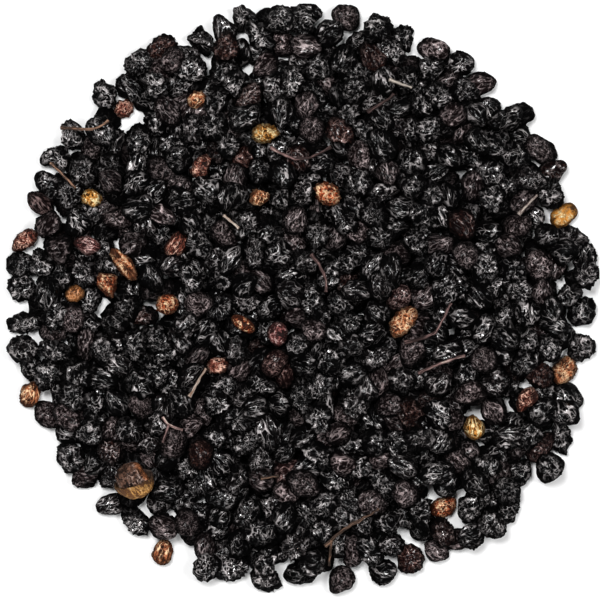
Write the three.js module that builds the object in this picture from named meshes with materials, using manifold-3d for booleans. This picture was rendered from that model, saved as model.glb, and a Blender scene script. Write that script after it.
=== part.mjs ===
// A round, shallow cluster of dried elderberries, with broken stalks and one papery husk.
// Millimetres, +Z up. The origin is on the surface that the cluster lies on, under its middle berry.
import * as THREE from 'three';
import { ConvexHull } from 'three/addons/math/ConvexHull.js';
import { mergeVertices } from 'three/addons/utils/BufferGeometryUtils.js';
import Module from 'manifold-3d';

// Driving dimensions of the cluster.
const CLUSTER_RADIUS = 47.9;
const CLUSTER_HEIGHT = 9.6;
const RIM_HEIGHT = 5.0;
const RIM_COUNT = 54;
const MIDDLE_HALF = [2.4, 1.95, 1.6];
const MIDDLE_HEADING = [0.8, 0.6];
const RIM_INSET = 1.5;
const RIM_START = 40;
const BULGE = { heading: [0.8, -0.6], reach: 2.4, cosine: 0.88 };
const SEED = 20261;
const LOWER_COUNT = 450;
const UPPER_COUNT = 370;

// Half lengths, half widths and half thicknesses of a black berry, least and most.
const HALF_LENGTH = [2.05, 3.05];
const HALF_WIDTH = [1.75, 2.4];
const HALF_THICKNESS = [1.4, 1.95];
const MOST_TILT = 0.45;
const MOST_ROLL = 0.5;

// How the berries meet. A share under 1 sinks each into its neighbour.
const TOUCH = 0.9;
const TOUCH_COLOURED = 1.2;
const FLOOR_SINK = 0.25;
const TRIES = 22;
const NUDGES = [1.1, 0.55, 0.27];
const NUDGE_HEADINGS = [
  [1, 0], [0.7, 0.7], [0, 1], [-0.7, 0.7], [-1, 0], [-0.7, -0.7], [0, -1], [0.7, -0.7],
];
const CLEAR_SHARE = 0.95;
const PROBES = [-0.75, -0.45, -0.15, 0.15, 0.45, 0.75];

// Solids. The black berries are one body, each raised from it on the side where it shows.
const FACET_SWELL = 1.06;
const POCKET_SWELL = 1.06;
const GAP = 0.3;
const SHOWN_LEAST = 0.3;
const OUTLINE = { rays: 300, step: 0.3, level: 1.8, steepest: 0.75, margin: 0.66 };
const RINGS_ABOVE = [{ share: 0.55, points: 4 }];
const RINGS_BELOW = [{ share: 0.4, points: 3 }];
const VALLEY = { above: 2.1, below: 1.6 };
const UNDER_EVERY = 2;
const CLOSEST_POINTS = 0.4;
const BOWL = 50;
const SHELL_DETAIL = 1;
const STALK_RADIUS = 0.38;
const STALK_SIDES = 5;
const STALK_STEP = 1.6;
const STALK_BERTH = 0.9;
const DROOP = 0.8;
const WELD = 0.03;

const FINISHES = {
  black: { color: 0x171416, roughness: 0.55 },
  amber: { color: 0xc08a3a, roughness: 0.6 },
  orange: { color: 0xb4562f, roughness: 0.6 },
  tan: { color: 0x9a6a4c, roughness: 0.65 },
  rust: { color: 0x6e3526, roughness: 0.65 },
  mauve: { color: 0x6b4046, roughness: 0.7 },
  husk: { color: 0xc79a55, roughness: 0.7 },
  stalk: { color: 0x8a6a5e, roughness: 0.8 },
};

// Coloured berries: colour, place, half sizes and the way the long axis points.
const COLOURED_BERRIES = [
  ['tan', [41.8, -11.6], [2.4, 1.85, 1.6], [5, 9]],
  ['amber', [41.8, 13.2], [2.4, 1.85, 1.6], [4, 3]],
  ['orange', [4.0, 16.6], [2.35, 1.7, 1.5], [-9, 5]],
  ['amber', [-6.0, 26.3], [2.3, 1.5, 1.4], [1, 0]],
  ['tan', [16.0, -3.7], [2.9, 1.75, 1.5], [7, 8]],
  ['tan', [-22.3, -40.5], [2.1, 1.6, 1.4], [1, 5]],
  ['orange', [22.6, -33.3], [2.2, 1.6, 1.4], [2, 1]],
  ['amber', [27.5, -20.7], [2.1, 1.6, 1.4], [-1, 6]],
  ['orange', [-30.9, 2.2], [2.0, 1.7, 1.5], [2, -5]],
  ['tan', [-43.4, -15.4], [2.3, 1.6, 1.4], [3, 10]],
  ['rust', [-20.1, 8.6], [2.4, 1.5, 1.4], [5, 8]],
  ['tan', [-28.4, 5.4], [3.1, 1.3, 1.2], [4, -5]],
  ['rust', [35.6, -16.2], [2.2, 1.5, 1.4], [9, 18]],
  ['amber', [-33.6, 15.9], [1.6, 1.3, 1.2], [-3, 1]],
  ['tan', [-6.8, 16.2], [1.8, 1.5, 1.3], [4, 3]],
  ['orange', [-9.4, -4.1], [2.15, 1.1, 1.0], [3, -2]],
  ['amber', [-36.3, 0.6], [1.6, 1.3, 1.2], [2, 1]],
  ['rust', [-16.0, 20.9], [2.0, 1.5, 1.3], [1, 1]],
  ['tan', [-16.8, 31.6], [1.6, 1.4, 1.2], [1, 1]],
  ['rust', [-28.5, 30.3], [1.6, 1.4, 1.2], [1, 0]],
  ['orange', [-21.5, -1.0], [1.9, 1.6, 1.4], [3, 1]],
  ['rust', [-13.4, -10.7], [1.8, 1.5, 1.4], [1, 0]],
  ['mauve', [-3.9, -5.7], [2.1, 1.65, 1.4], [0, 1]],
  ['mauve', [-34.1, 8.4], [2.3, 1.4, 1.3], [5, -1]],
  ['rust', [-44.4, 9.3], [2.4, 1.5, 1.4], [6, 5]],
];

// The husk: place, half sizes and heading of the berry in it, the thickness of its papery shell, and the
// way that the shell's cup faces, with how far past the berry's middle it reaches.
const HUSK = {
  place: [-27.0, -28.6],
  half: [2.7, 2.3, 1.8],
  heading: [5, -4],
  wall: 0.6,
  cup: new THREE.Vector3(0.3, -0.82, -0.45).normalize(),
  overlap: 0.3,
};

// Broken stalks: the line that each follows, seen from above, and a branch where it has one.
const STALKS = [
  { line: [[-38.4, 27.1], [-35.6, 26.9], [-32.8, 26.5], [-30.7, 28.1]] },
  { line: [[-40.0, 21.4], [-38.7, 20.3], [-37.1, 18.7], [-35.9, 17.4]] },
  { line: [[-5.0, 23.8], [-1.4, 21.7], [1.6, 22.2], [4.5, 24.0]] },
  { line: [[16.1, -7.0], [19.0, -6.4], [21.2, -5.6], [22.2, -3.4], [23.5, -0.8]] },
  { line: [[18.3, -11.9], [21.9, -10.2], [25.6, -9.1]] },
  { line: [[34.2, 13.2], [35.6, 14.9], [37.2, 16.3]] },
  { line: [[3.5, -39.2], [6.6, -36.4], [10.8, -34.3], [12.1, -33.3]],
    branch: [[4.6, -38.2], [4.4, -40.2], [4.2, -42.4]] },
  { line: [[-6.6, -28.6], [-3.8, -28.1]] },
  { line: [[10.2, 29.5], [12.4, 30.6], [14.5, 32.2]] },
  { line: [[13.7, 34.6], [17.2, 33.3]] },
  { line: [[1.4, 7.0], [2.9, 5.1], [3.9, 2.6], [3.7, 1.0]] },
  { line: [[-17.9, -15.6], [-15.3, -11.1]] },
  { line: [[-22.1, -18.9], [-21.1, -20.2], [-18.9, -20.8]], branch: [[-21.1, -20.2], [-22.1, -22.8]] },
  { line: [[-12.4, 13.0], [-10.0, 11.0]] },
];

// ---- The rule that piles the berries ----

// Even draws between two limits, the same each time.
function randomStream(seed) {
  let state = seed;
  return (low, high) => {
    state = (state * 48271) % 2147483647;
    return low + (high - low) * (state / 2147483647);
  };
}

// Length of a flat arrow.
function flatLength(x, y) {
  return Math.sqrt(x * x + y * y);
}

// An even draw of a direction in the plane.
function drawHeading(draw) {
  for (;;) {
    const x = draw(-1, 1);
    const y = draw(-1, 1);
    const length = flatLength(x, y);
    if (length > 0.1 && length < 1) return [x / length, y / length];
  }
}

// A berry is an ellipsoid: its half sizes, its three axes, and the six terms of its inverse shape.
function makeBerry(half, heading, tilt, roll) {
  const level = Math.sqrt(1 - tilt * tilt);
  const upright = Math.sqrt(1 - roll * roll);
  const long = [heading[0] * level, heading[1] * level, tilt];
  const side = [-heading[1], heading[0], 0];
  const top = [-heading[0] * tilt, -heading[1] * tilt, level];
  const wide = [0, 1, 2].map((k) => side[k] * upright + top[k] * roll);
  const thin = [0, 1, 2].map((k) => top[k] * upright - side[k] * roll);
  const axes = [long, wide, thin];
  const term = (i, j) => long[i] * long[j] / (half[0] * half[0]) + wide[i] * wide[j] / (half[1] * half[1])
    + thin[i] * thin[j] / (half[2] * half[2]);
  const shape = [term(0, 0), term(1, 1), term(2, 2), term(0, 1), term(0, 2), term(1, 2)];
  return { half, axes, shape, place: [0, 0, 0], coloured: false };
}

// How far a berry reaches from its centre along a direction.
function reach(berry, x, y, z) {
  const parts = berry.axes.map((axis, k) => berry.half[k] * (axis[0] * x + axis[1] * y + axis[2] * z));
  return Math.sqrt(parts[0] * parts[0] + parts[1] * parts[1] + parts[2] * parts[2]);
}

// How many radii of a berry an offset from its centre is, squared.
function radiiSquared(berry, x, y, z) {
  const s = berry.shape;
  return s[0] * x * x + s[1] * y * y + s[2] * z * z + 2 * (s[3] * x * y + s[4] * x * z + s[5] * y * z);
}

// Berries by square of a flat grid, to find neighbours quickly.
const SQUARE = 3;
function squareKey(x, y) {
  return (Math.floor(x / SQUARE) + 64) * 128 + Math.floor(y / SQUARE) + 64;
}
function neighbours(pile, x, y) {
  const found = [];
  for (let i = -2; i <= 2; i += 1) {
    for (let j = -2; j <= 2; j += 1) {
      found.push(...(pile.squares.get(squareKey(x + i * SQUARE, y + j * SQUARE)) ?? []));
    }
  }
  return found;
}
function addBerry(pile, berry, x, y, z) {
  berry.place = [x, y, z];
  const key = squareKey(x, y);
  if (!pile.squares.has(key)) pile.squares.set(key, []);
  pile.squares.get(key).push(berry);
  pile.berries.push(berry);
}

// Height at which a berry dropped at a place touches another, or 0 where it misses it.
function restOn(berry, other, x, y) {
  const dx = x - other.place[0];
  const dy = y - other.place[1];
  const flat = dx * dx + dy * dy;
  const touch = berry.coloured && other.coloured ? TOUCH_COLOURED : TOUCH;
  const most = touch * (berry.half[0] + other.half[0]);
  if (flat >= most * most) return 0;
  let rise = Math.sqrt(most * most - flat);
  for (let step = 0; step < 4; step += 1) {
    const radii = 1 / Math.sqrt(radiiSquared(berry, dx, dy, rise))
      + 1 / Math.sqrt(radiiSquared(other, dx, dy, rise));
    const contact = touch * touch * radii * radii * (flat + rise * rise);
    if (contact <= flat) return 0;
    rise = Math.sqrt(contact - flat);
  }
  return other.place[2] + rise;
}

// Height of a berry's centre where it comes to rest at a place.
function restHeight(pile, berry, x, y) {
  let height = berry.drop - FLOOR_SINK;
  for (const other of neighbours(pile, x, y)) height = Math.max(height, restOn(berry, other, x, y));
  return height;
}

// The cluster's outline and the height of its top, by place.
function rimRadius(x, y, distance) {
  const toward = (x * BULGE.heading[0] + y * BULGE.heading[1]) / distance;
  return CLUSTER_RADIUS + BULGE.reach * Math.max(0, toward - BULGE.cosine) / (1 - BULGE.cosine);
}
function domeHeight(x, y) {
  const distance = Math.max(0.001, flatLength(x, y));
  const share = distance / rimRadius(x, y, distance);
  return RIM_HEIGHT + (CLUSTER_HEIGHT - RIM_HEIGHT) * (1 - share * share * share * share);
}

// Whether a berry at a place stays inside the outline and off the coloured berries and the husk.
function isFree(pile, berry, x, y) {
  const distance = Math.max(0.001, flatLength(x, y));
  const outside = distance + reach(berry, x / distance, y / distance, 0) + berry.inset;
  if (outside > rimRadius(x, y, distance)) return false;
  return pile.kept.every((other) => {
    const dx = x - other.place[0];
    const dy = y - other.place[1];
    const apart = Math.max(0.001, flatLength(dx, dy));
    const span = reach(berry, dx / apart, dy / apart, 0) + reach(other, dx / apart, dy / apart, 0);
    return apart > CLEAR_SHARE * span;
  });
}

// What a place costs a berry: height above the cluster's shape or, for a rim berry, height and way inwards.
function fillCost(top, x, y) {
  return top - domeHeight(x, y);
}
function rimCost(top, x, y) {
  return top - flatLength(x, y);
}

// Drops a berry at the cheapest of a few places, then rolls it to a cheaper one nearby.
function dropBerry(pile, berry, draw, cost) {
  let best = null;
  const consider = (x, y) => {
    if (!isFree(pile, berry, x, y)) return false;
    const z = restHeight(pile, berry, x, y);
    const score = cost(z + berry.drop, x, y);
    if (best && score >= best.score) return false;
    best = { x, y, z, score };
    return true;
  };
  for (let tried = 0; tried < TRIES; tried += 1) {
    consider(draw(-1, 1) * CLUSTER_RADIUS * 1.05, draw(-1, 1) * CLUSTER_RADIUS * 1.05);
  }
  if (!best) return;
  for (const nudge of NUDGES) {
    for (let moved = 0; moved < 3; moved += 1) {
      const { x, y } = best;
      const better = NUDGE_HEADINGS.map(([i, j]) => consider(x + i * nudge, y + j * nudge));
      if (!better.includes(true)) break;
    }
  }
  addBerry(pile, berry, best.x, best.y, best.z);
}

function drawBerry(draw) {
  const middling = ([low, high]) => (draw(low, high) + draw(low, high)) / 2;
  const half = [middling(HALF_LENGTH), middling(HALF_WIDTH), middling(HALF_THICKNESS)];
  const heading = drawHeading(draw);
  const berry = setDrop(makeBerry(half, heading, draw(-MOST_TILT, MOST_TILT), draw(-MOST_ROLL, MOST_ROLL)));
  berry.inset = draw(0, RIM_INSET);
  return berry;
}

function setDrop(berry) {
  berry.drop = reach(berry, 0, 0, 1);
  return berry;
}

function placeKept(pile, half, heading, [x, y]) {
  const length = flatLength(heading[0], heading[1]);
  const berry = setDrop(makeBerry(half, [heading[0] / length, heading[1] / length], 0, 0));
  berry.coloured = true;
  addBerry(pile, berry, x, y, restHeight(pile, berry, x, y));
  pile.kept.push(berry);
  return berry;
}

function placeColoured(pile, isWanted) {
  const wanted = COLOURED_BERRIES.filter(([, place]) => isWanted(flatLength(place[0], place[1])));
  return wanted.map(([colour, place, half, heading]) => {
    const berry = placeKept(pile, half, heading, place);
    return { colour, berry };
  });
}

// The whole pile: a level middle berry, the coloured ones at the rim, the rim, the lower berries, the other
// coloured ones, the husk, and the rest.
function pileBerries() {
  const draw = randomStream(SEED);
  const pile = { berries: [], squares: new Map(), kept: [] };
  const middle = setDrop(makeBerry(MIDDLE_HALF, MIDDLE_HEADING, 0, 0));
  addBerry(pile, middle, 0, 0, middle.drop - FLOOR_SINK);
  const coloured = placeColoured(pile, (distance) => distance > RIM_START);
  for (let made = 0; made < RIM_COUNT; made += 1) dropBerry(pile, drawBerry(draw), draw, rimCost);
  for (let made = 0; made < LOWER_COUNT; made += 1) dropBerry(pile, drawBerry(draw), draw, fillCost);
  coloured.push(...placeColoured(pile, (distance) => distance <= RIM_START));
  const grown = HUSK.half.map((half) => half + GAP + HUSK.wall);
  const husk = placeKept(pile, grown, HUSK.heading, HUSK.place);
  for (let made = 0; made < UPPER_COUNT; made += 1) dropBerry(pile, drawBerry(draw), draw, fillCost);
  return { pile, coloured, husk };
}

// ---- What of the pile shows, and what lies on it ----

// Height of a berry's skin over a place, on its upper (1) or under (-1) side, or null beside it.
function skinHeight(berry, x, y, side) {
  const dx = x - berry.place[0];
  const dy = y - berry.place[1];
  const s = berry.shape;
  const lean = s[4] * dx + s[5] * dy;
  const rest = s[0] * dx * dx + s[1] * dy * dy + 2 * s[3] * dx * dy - 1;
  const root = lean * lean - s[2] * rest;
  return root < 0 ? null : berry.place[2] + (side * Math.sqrt(root) - lean) / s[2];
}

// Share of a berry that no other one hides, looking down on it (1) or up at it (-1).
function shownShare(pile, berry, side) {
  const others = neighbours(pile, berry.place[0], berry.place[1]).filter((other) => other !== berry);
  let seen = 0;
  let all = 0;
  for (const i of PROBES) {
    for (const j of PROBES) {
      const x = berry.place[0] + i * berry.half[0];
      const y = berry.place[1] + j * berry.half[0];
      const skin = skinHeight(berry, x, y, side);
      if (skin === null) continue;
      all += 1;
      const hidden = others.some((other) => {
        const height = skinHeight(other, x, y, side);
        return height !== null && side * height > side * skin;
      });
      if (!hidden) seen += 1;
    }
  }
  return seen / all;
}

// Height of the pile's top at a place.
function pileTop(pile, x, y) {
  return neighbours(pile, x, y).reduce((top, berry) => Math.max(top, skinHeight(berry, x, y, 1) ?? 0), 0);
}

// Points along a line of corners, a step apart at most.
function walkLine(corners, step) {
  const points = [corners[0]];
  for (let k = 1; k < corners.length; k += 1) {
    const [x0, y0] = corners[k - 1];
    const [x1, y1] = corners[k];
    const parts = Math.ceil(flatLength(x1 - x0, y1 - y0) / step);
    for (let part = 1; part <= parts; part += 1) {
      points.push([x0 + (x1 - x0) * part / parts, y0 + (y1 - y0) * part / parts]);
    }
  }
  return points;
}

// Height that a stalk's middle line has to clear at a place.
function stalkHeight(pile, [x, y]) {
  const tops = NUDGE_HEADINGS.map(([i, j]) => pileTop(pile, x + i * STALK_BERTH, y + j * STALK_BERTH));
  return Math.max(pileTop(pile, x, y), ...tops) + GAP + STALK_RADIUS;
}

// A stalk's route: it lies on the tops, and droops a little at each step away from one. A branch starts at
// its stalk's height.
function layStalk(pile, corners, startHeight) {
  const points = walkLine(corners, STALK_STEP);
  const needed = points.map((point) => stalkHeight(pile, point));
  const drooped = (k) => needed.map((height, j) => height - DROOP * Math.abs(k - j));
  const heights = needed.map((_, k) => Math.max(...drooped(k)));
  if (startHeight !== undefined) heights[0] = startHeight;
  return points.map(([x, y], k) => [x, y, heights[k]]);
}

// Height of the point of a route that is nearest to a place.
function heightNear(route, [x, y]) {
  const away = (point) => flatLength(point[0] - x, point[1] - y);
  return route.reduce((best, point) => (away(point) < away(best) ? point : best))[2];
}

// ---- Solids ----

const wasm = await Module();
wasm.setup();

function toSolid(geometry) {
  geometry.deleteAttribute('normal');
  geometry.deleteAttribute('uv');
  const merged = mergeVertices(geometry, 1e-4);
  const vertProperties = new Float32Array(merged.attributes.position.array);
  const triVerts = new Uint32Array(merged.index.array);
  return new wasm.Manifold(new wasm.Mesh({ numProp: 3, vertProperties, triVerts }));
}

function toGeometry(solid) {
  const mesh = solid.getMesh();
  const geometry = new THREE.BufferGeometry();
  geometry.setAttribute('position', new THREE.BufferAttribute(mesh.vertProperties, 3));
  geometry.setIndex(new THREE.BufferAttribute(mesh.triVerts, 1));
  return geometry;
}

function joinAll(solids) {
  return wasm.Manifold.union(solids);
}

// The largest body of a solid, with its sealed hollows filled and its scraps left out.
function largestBody(solid) {
  const bodies = solid.simplify(WELD).decompose();
  return bodies.reduce((best, body) => (body.volume() > best.volume() ? body : best));
}

function aboveSurface(solid) {
  return solid.trimByPlane([0, 0, 1], 0);
}

// An ellipsoid of flat facets on a berry's axes, grown by a margin on every side.
function berrySolid(berry, margin = 0, detail = 0) {
  const swell = margin > 0 ? FACET_SWELL * POCKET_SWELL : FACET_SWELL;
  const sizes = berry.half.map((half) => (half + margin) * swell);
  const [long, wide, thin] = berry.axes.map((axis, k) => new THREE.Vector3(...axis).multiplyScalar(sizes[k]));
  const matrix = new THREE.Matrix4().makeBasis(long, wide, thin).setPosition(...berry.place);
  return toSolid(new THREE.IcosahedronGeometry(1, detail).applyMatrix4(matrix));
}

// Triangles between places, seen from above: the under side of their hull once lifted onto a bowl.
function linkPlaces(places) {
  const lifted = places.map(([x, y]) => new THREE.Vector3(x, y, (x * x + y * y) / BOWL));
  const number = new Map(lifted.map((point, k) => [point, k]));
  const hull = new ConvexHull().setFromPoints(lifted);
  const lower = hull.faces.filter((face) => face.normal.z < 0);
  const corner = (side) => number.get(side.head().point);
  return lower.map(({ edge }) => [edge.prev, edge.next, edge].map(corner));
}

// The cluster's outline seen from above: the furthest berry along each ray, with narrow notches filled.
function outlinePoints(berries) {
  const angles = Array.from({ length: OUTLINE.rays }, (_, k) => 2 * Math.PI * k / OUTLINE.rays);
  const reaches = angles.map((angle) => {
    let distance = CLUSTER_RADIUS + BULGE.reach;
    const covered = () => berries.some((berry) => {
      return skinHeight(berry, distance * Math.cos(angle), distance * Math.sin(angle), 1) !== null;
    });
    while (!covered()) distance -= OUTLINE.step;
    return distance;
  });
  for (let turn = 0; turn < 2; turn += 1) {
    for (let k = 0; k < reaches.length; k += 1) {
      const next = (k + 1) % reaches.length;
      reaches[next] = Math.max(reaches[next], reaches[k] - OUTLINE.steepest);
      const back = reaches.length - 1 - k;
      reaches[back] = Math.max(reaches[back], reaches[(back + 1) % reaches.length] - OUTLINE.steepest);
    }
  }
  const corner = (angle, k) => [reaches[k] * Math.cos(angle), reaches[k] * Math.sin(angle), OUTLINE.level];
  return angles.map(corner);
}

function isInside(outline, x, y) {
  let inside = false;
  outline.forEach(([x1, y1], k) => {
    const [x2, y2] = outline[(k + 1) % outline.length];
    if ((y1 > y) !== (y2 > y) && x < x1 + (x2 - x1) * (y - y1) / (y2 - y1)) inside = !inside;
  });
  return inside;
}

// Points on the rings round a berry's middle, on its upper or under side.
function ringPoints(berry, rings, side) {
  const spread = (i, j) => {
    return berry.axes.reduce((sum, axis, k) => sum + berry.half[k] ** 2 * axis[i] * axis[j], 0);
  };
  const along = Math.sqrt(spread(0, 0));
  const slant = spread(0, 1) / along;
  const across = Math.sqrt(spread(1, 1) - slant * slant);
  return rings.flatMap(({ share, points }) => Array.from({ length: points }, (_, k) => {
    const angle = 2 * Math.PI * (k / points) + share;
    const x = berry.place[0] + share * along * Math.cos(angle);
    const y = berry.place[1] + share * (slant * Math.cos(angle) + across * Math.sin(angle));
    return [x, y, skinHeight(berry, x, y, side)];
  }));
}

// Middles of the gaps between neighbouring berries: two by two, and three by three.
function gapPlaces(berries) {
  const triangles = linkPlaces(berries.map((berry) => berry.place));
  const middle = (corners) => [0, 1].map((axis) => {
    return corners.reduce((sum, k) => sum + berries[k].place[axis], 0) / corners.length;
  });
  const sides = triangles.flatMap(([i, j, k]) => [[i, j], [j, k], [k, i]]);
  const pairs = sides.filter(([i, j]) => i < j);
  return { creases: pairs.map(middle), valleys: triangles.map(middle) };
}

// One side of the black berries' body: the creases between berries, each berry's rings where they show,
// and the valleys.
function reliefPoints(berries, outline, rings, side) {
  const skin = (x, y) => {
    const near = neighbours(pile, x, y).filter((berry) => !berry.coloured);
    return near.reduce((best, berry) => {
      const height = skinHeight(berry, x, y, side);
      return height === null ? best : Math.max(best, side * height);
    }, -Infinity);
  };
  const points = [...outline];
  const isClear = (x, y) => isInside(outline, x, y) && points.every((point, k) => {
    const closest = k < outline.length ? OUTLINE.margin : CLOSEST_POINTS;
    return Math.abs(point[0] - x) > closest || flatLength(point[0] - x, point[1] - y) > closest;
  });
  const add = (x, y, z) => {
    if (isClear(x, y)) points.push([x, y, z]);
  };
  const clamp = (z) => (side > 0 ? Math.max(z, VALLEY.above) : Math.min(Math.max(z, 0), VALLEY.below));
  const { creases, valleys } = gapPlaces(berries);
  for (const [x, y] of creases) add(x, y, clamp(side * skin(x, y)));
  for (const berry of berries) {
    for (const [x, y, z] of ringPoints(berry, rings, side)) {
      if (side * z >= skin(x, y) - WELD) add(x, y, clamp(z));
    }
  }
  for (const [x, y] of valleys) {
    const isCovered = berries.some((berry) => skinHeight(berry, x, y, side) !== null);
    if (!isCovered) add(x, y, clamp(side * skin(x, y)));
  }
  return points;
}

// The black berries' body: its upper and its under side, joined along the outline.
function reliefSolid(above, below) {
  const outline = outlinePoints(pile.berries);
  const upper = reliefPoints(above, outline, RINGS_ABOVE, 1);
  const lower = reliefPoints(below, outline, RINGS_BELOW, -1);
  const isKept = (points) => (corners) => {
    const [x, y] = [0, 1].map((axis) => corners.reduce((sum, k) => sum + points[k][axis], 0) / 3);
    return isInside(outline, x, y);
  };
  const top = linkPlaces(upper).filter(isKept(upper));
  const bottom = linkPlaces(lower).filter(isKept(lower));
  const shift = upper.length - outline.length;
  const moved = (k) => (k < outline.length ? k : k + shift);
  const faces = [...top, ...bottom.map(([i, j, k]) => [moved(k), moved(j), moved(i)])];
  const geometry = new THREE.BufferGeometry();
  const corners = [...upper, ...lower.slice(outline.length)];
  geometry.setAttribute('position', new THREE.Float32BufferAttribute(corners.flat(), 3));
  geometry.setIndex(faces.flat());
  return toSolid(geometry);
}

// A tube of flat sides along a route.
function tubeSolid(route, radius) {
  const curve = new THREE.CatmullRomCurve3(route.map((point) => new THREE.Vector3(...point)));
  const corners = [];
  for (let side = 0; side < STALK_SIDES; side += 1) {
    const angle = 2 * Math.PI * side / STALK_SIDES;
    corners.push(new THREE.Vector2(Math.cos(angle), Math.sin(angle)).multiplyScalar(radius));
  }
  const steps = route.length - 1;
  const tube = new THREE.ExtrudeGeometry(new THREE.Shape(corners), { steps, extrudePath: curve });
  return toSolid(tube);
}

// ---- The cluster ----

const cluster = new THREE.Group();

function addMesh(name, solid, finish) {
  const material = new THREE.MeshStandardMaterial({ ...FINISHES[finish], metalness: 0 });
  const mesh = new THREE.Mesh(toGeometry(solid), material);
  mesh.name = name;
  cluster.add(mesh);
}

const { pile, coloured, husk } = pileBerries();
const kept = pile.kept;
const pockets = kept.map((berry) => berrySolid(berry, GAP, berry === husk ? SHELL_DETAIL : 0));
const stalks = STALKS.map(({ line, branch }) => {
  const main = layStalk(pile, line);
  return branch ? [main, layStalk(pile, branch, heightNear(main, branch[0]))] : [main];
});
stalks.flat().forEach((route) => pockets.push(tubeSolid(route, STALK_RADIUS + GAP)));

// The black berries, with room left for the coloured ones, the husk and the stalks.
function addBlackBerries() {
  const black = pile.berries.filter((berry) => !berry.coloured);
  const above = black.filter((berry) => shownShare(pile, berry, 1) >= SHOWN_LEAST);
  const bottom = black.filter((berry) => shownShare(pile, berry, -1) >= SHOWN_LEAST);
  const below = bottom.filter((berry, k) => k % UNDER_EVERY === 0);
  const body = reliefSolid(above, below).subtract(joinAll(pockets));
  addMesh('berries', largestBody(body), 'black');
}

// Each coloured berry, numbered within its colour.
function addColouredBerries() {
  const counts = {};
  for (const { colour, berry } of coloured) {
    counts[colour] = (counts[colour] ?? 0) + 1;
    addMesh(`berry_${colour}_${counts[colour]}`, aboveSurface(berrySolid(berry)), colour);
  }
}

// The husk: a berry, and the papery cup that holds it from below and from one side.
function addHusk() {
  const inner = { ...husk, half: HUSK.half };
  const outside = berrySolid(husk, 0, SHELL_DETAIL);
  const hollow = berrySolid({ ...husk, half: HUSK.half.map((half) => half + GAP) }, 0, SHELL_DETAIL);
  const cut = HUSK.cup.dot(new THREE.Vector3(...husk.place)) - HUSK.overlap;
  const cup = outside.subtract(hollow).trimByPlane(HUSK.cup.toArray(), cut);
  addMesh('husk_berry', berrySolid(inner, 0, SHELL_DETAIL), 'mauve');
  addMesh('husk_shell', largestBody(cup), 'husk');
}

function addStalks() {
  stalks.forEach((routes, k) => {
    const tubes = routes.map((route) => tubeSolid(route, STALK_RADIUS));
    addMesh(`stalk_${k + 1}`, largestBody(joinAll(tubes)), 'stalk');
  });
}

addBlackBerries();
addColouredBerries();
addHusk();
addStalks();

export default cluster;
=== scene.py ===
"""A shallow round cluster of dried elderberries: black and coloured berries, a husk and broken stalks.

Sizes in the pile are in millimetres; every mesh is in metres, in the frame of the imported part.
"""

import math
import random

import bmesh
import bpy
import numpy as np
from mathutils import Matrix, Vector, noise


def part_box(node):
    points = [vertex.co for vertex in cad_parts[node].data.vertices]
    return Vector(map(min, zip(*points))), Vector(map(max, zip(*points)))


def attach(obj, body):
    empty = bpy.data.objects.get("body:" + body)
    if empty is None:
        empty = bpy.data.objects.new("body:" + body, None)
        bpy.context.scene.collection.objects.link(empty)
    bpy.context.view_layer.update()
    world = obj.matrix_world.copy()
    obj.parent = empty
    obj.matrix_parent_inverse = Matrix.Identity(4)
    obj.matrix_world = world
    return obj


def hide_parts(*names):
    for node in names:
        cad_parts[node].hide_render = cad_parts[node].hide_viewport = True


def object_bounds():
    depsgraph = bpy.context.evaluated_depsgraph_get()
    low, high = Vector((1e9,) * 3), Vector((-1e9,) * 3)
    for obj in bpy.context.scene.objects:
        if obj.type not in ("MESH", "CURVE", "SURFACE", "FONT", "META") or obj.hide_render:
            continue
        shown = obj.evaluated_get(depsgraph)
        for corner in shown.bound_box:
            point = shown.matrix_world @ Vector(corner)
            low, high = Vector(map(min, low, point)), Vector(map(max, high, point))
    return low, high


bl_info = {
    "name": "Dried elderberry cluster",
    "version": (1, 0, 0),
    "blender": (4, 5, 0),
    "location": "View3D > Sidebar > Elderberry",
    "description": "Wrinkled dried elderberries, a husk and broken stalks, piled in a round cluster",
    "category": "Add Mesh",
}

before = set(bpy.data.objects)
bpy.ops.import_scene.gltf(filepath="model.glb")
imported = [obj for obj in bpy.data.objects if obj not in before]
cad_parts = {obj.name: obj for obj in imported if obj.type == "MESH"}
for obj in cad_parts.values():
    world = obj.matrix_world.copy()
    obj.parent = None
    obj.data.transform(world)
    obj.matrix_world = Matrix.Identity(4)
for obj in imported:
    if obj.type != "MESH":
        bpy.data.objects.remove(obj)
CAD_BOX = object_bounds()

MM = 0.001

# The pile, as the solids have it.
CLUSTER_RADIUS = 47.9
CLUSTER_HEIGHT = 9.6
RIM_HEIGHT = 5.0
RIM_COUNT = 54
MIDDLE_HALF = (2.4, 1.95, 1.6)
MIDDLE_HEADING = (0.8, 0.6)
RIM_INSET = 1.5
RIM_START = 40
BULGE_HEADING = (0.8, -0.6)
BULGE_REACH = 2.4
BULGE_COSINE = 0.88
SEED = 20261
LOWER_COUNT = 450
UPPER_COUNT = 370
HALF_LENGTH = (2.05, 3.05)
HALF_WIDTH = (1.75, 2.4)
HALF_THICKNESS = (1.4, 1.95)
MOST_TILT = 0.45
MOST_ROLL = 0.5
TOUCH = 0.9
TOUCH_COLOURED = 1.2
FLOOR_SINK = 0.25
TRIES = 22
NUDGES = (1.1, 0.55, 0.27)
NUDGE_HEADINGS = ((1, 0), (0.7, 0.7), (0, 1), (-0.7, 0.7), (-1, 0), (-0.7, -0.7), (0, -1), (0.7, -0.7))
ROLLS = 3
DROP_REACH = 1.05
NEVER_TOUCH = 8
CLEAR_SHARE = 0.95
CONTACT_STEPS = 4
PROBES = (-0.75, -0.45, -0.15, 0.15, 0.45, 0.75)
SQUARE = 3
GAP = 0.3

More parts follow.
